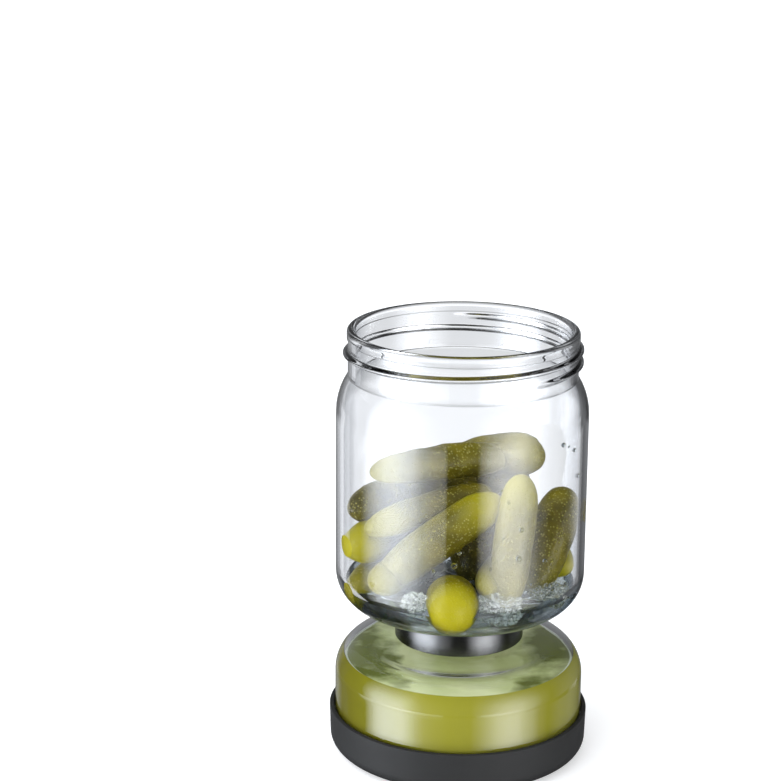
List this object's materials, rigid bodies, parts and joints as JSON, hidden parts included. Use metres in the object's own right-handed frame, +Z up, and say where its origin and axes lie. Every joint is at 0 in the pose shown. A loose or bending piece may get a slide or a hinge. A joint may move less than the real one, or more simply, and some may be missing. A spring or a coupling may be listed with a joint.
{
  "type": "pickle keeper jar",
  "caption": "Waisted pickle keeper: open glass jar joined by a metal-banded coupling to a glass brine chamber on a dark screw cap, with a pierced strainer that lifts out.",
  "frame": {"origin": "middle of the foot ring's underside, on the surface that the keeper stands on", "axes": "+Z up along the common axis of the jars; +X to the right of someone in front; -Y towards them"},
  "size_m": [0.105, 0.105, 0.1759],
  "materials": {
    "clear_glass": "clear, fire-polished",
    "core_plastic": "moulded satin",
    "dark_chrome": "polished gunmetal",
    "silicone": "translucent matt",
    "strainer_steel": "satin",
    "cap_plastic": "fine moulded texture",
    "liner_plastic": "semi-gloss",
    "foot_rubber": "matt"
  },
  "bodies": {
    "base_cap": {"base_cap_shell": "cap_plastic", "base_cap_liner": "liner_plastic", "foot_ring": "foot_rubber"},
    "cap_seal": {"base_gasket": "silicone"},
    "brine_jar": {"lower_jar": "clear_glass"},
    "lower_seal": {"lower_neck_gasket": "silicone"},
    "coupling": {"coupling_core": "core_plastic", "coupling_band": "dark_chrome"},
    "upper_seal": {"upper_neck_gasket": "silicone"},
    "food_jar": {"upper_jar": "clear_glass"},
    "strainer": {"strainer_plate": "strainer_steel", "strainer_seal": "silicone", "strainer_knob": "strainer_steel"}
  },
  "joints": [
    {"name": "cap_seal_rise", "type": "slide", "parent": "base_cap", "child": "cap_seal", "axis": [0, 0, 1], "range_m": [0, 0.015]},
    {"name": "base_cap_screw", "type": "hinge", "parent": "cap_seal", "child": "brine_jar", "pos_m": [0, 0, 0], "axis": [0, 0, 1], "range_deg": [0, 1080]},
    {"name": "lower_seal_rise", "type": "slide", "parent": "brine_jar", "child": "lower_seal", "axis": [0, 0, 1], "range_m": [0, 0.005]},
    {"name": "lower_neck_screw", "type": "hinge", "parent": "lower_seal", "child": "coupling", "pos_m": [0, 0, 0], "axis": [0, 0, 1], "range_deg": [0, 720]},
    {"name": "upper_seal_rise", "type": "slide", "parent": "coupling", "child": "upper_seal", "axis": [0, 0, 1], "range_m": [0, 0.005]},
    {"name": "upper_neck_screw", "type": "hinge", "parent": "upper_seal", "child": "food_jar", "pos_m": [0, 0, 0], "axis": [0, 0, 1], "range_deg": [0, 720]},
    {"name": "strainer_lift", "type": "slide", "parent": "food_jar", "child": "strainer", "axis": [0, 0, 1], "range_m": [0, 0.12]}
  ],
  "couplings": [
    {"joint": "cap_seal_rise", "follows": "base_cap_screw", "m_per_rad": 0.00079577},
    {"joint": "lower_seal_rise", "follows": "lower_neck_screw", "m_per_rad": 0.00039788},
    {"joint": "upper_seal_rise", "follows": "upper_neck_screw", "m_per_rad": 0.00039788}
  ]
}
